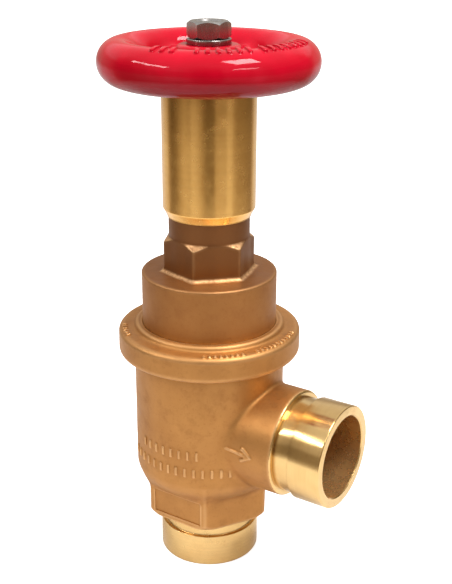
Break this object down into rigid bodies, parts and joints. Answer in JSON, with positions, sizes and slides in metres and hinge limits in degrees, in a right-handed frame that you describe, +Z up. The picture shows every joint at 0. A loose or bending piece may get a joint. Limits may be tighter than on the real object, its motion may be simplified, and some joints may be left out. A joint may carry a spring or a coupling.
{
  "type": "pressure reducing angle valve",
  "caption": "Spring-loaded angle valve that lowers water pressure: cast body with grooved pipe ends, screwed bonnet, threaded brass sleeve and round handwheel that sets the spring.",
  "frame": {"origin": "centre of the inlet's end face", "axes": "+Z up the valve's axis to the handwheel, +X out along the outlet"},
  "size_m": [0.1219, 0.0974, 0.2589],
  "materials": {
    "cast_bronze": "sand cast, bead blasted; pipe ends turned bright",
    "turned_brass": "fine turned",
    "red_enamel": "gloss enamel",
    "stainless_steel": "satin",
    "spring_steel": "drawn wire",
    "bearing_bronze": "fine turned",
    "black_rubber": "matt",
    "white_ptfe": "matt"
  },
  "bodies": {
    "valve_body": {"body": "cast_bronze", "seat_gasket": "white_ptfe", "seat_ring": "turned_brass", "bonnet": "cast_bronze", "bonnet_o_ring": "black_rubber", "piston_snap_ring": "spring_steel", "inlet_spider": "turned_brass", "inlet_snap_ring": "spring_steel", "stem_guide": "bearing_bronze", "closing_spring": "spring_steel", "main_spring": "spring_steel"},
    "piston_group": {"valve_stem": "stainless_steel", "disc_nut": "stainless_steel", "disc_holder": "turned_brass", "seat_disc": "black_rubber", "disc_washer": "stainless_steel", "piston": "turned_brass", "piston_seal": "black_rubber", "piston_guide": "white_ptfe", "lower_spring_seat": "turned_brass", "piston_nut": "stainless_steel"},
    "spring_carrier": {"upper_spring_plate": "turned_brass", "thrust_washer": "bearing_bronze"},
    "handwheel_group": {"barrel": "turned_brass", "adjusting_stud": "stainless_steel", "stud_pin": "stainless_steel", "handwheel": "red_enamel", "handwheel_washer": "stainless_steel", "handwheel_nut": "stainless_steel"}
  },
  "joints": [
    {"name": "adjust_slide", "type": "slide", "parent": "valve_body", "child": "spring_carrier", "axis": [0, 0, 1], "range_m": [-0.008, 0.004], "deforming": ["main_spring"]},
    {"name": "handwheel_turn", "type": "hinge", "parent": "spring_carrier", "child": "handwheel_group", "pos_m": [0, 0, 0.24], "axis": [0, 0, 1], "range_deg": [-1440, 720]},
    {"name": "piston_lift", "type": "slide", "parent": "valve_body", "child": "piston_group", "axis": [0, 0, 1], "range_m": [0, 0.007], "deforming": ["closing_spring"]}
  ],
  "couplings": [
    {"joint": "adjust_slide", "follows": "handwheel_turn", "m_per_rad": 0.00031831}
  ]
}
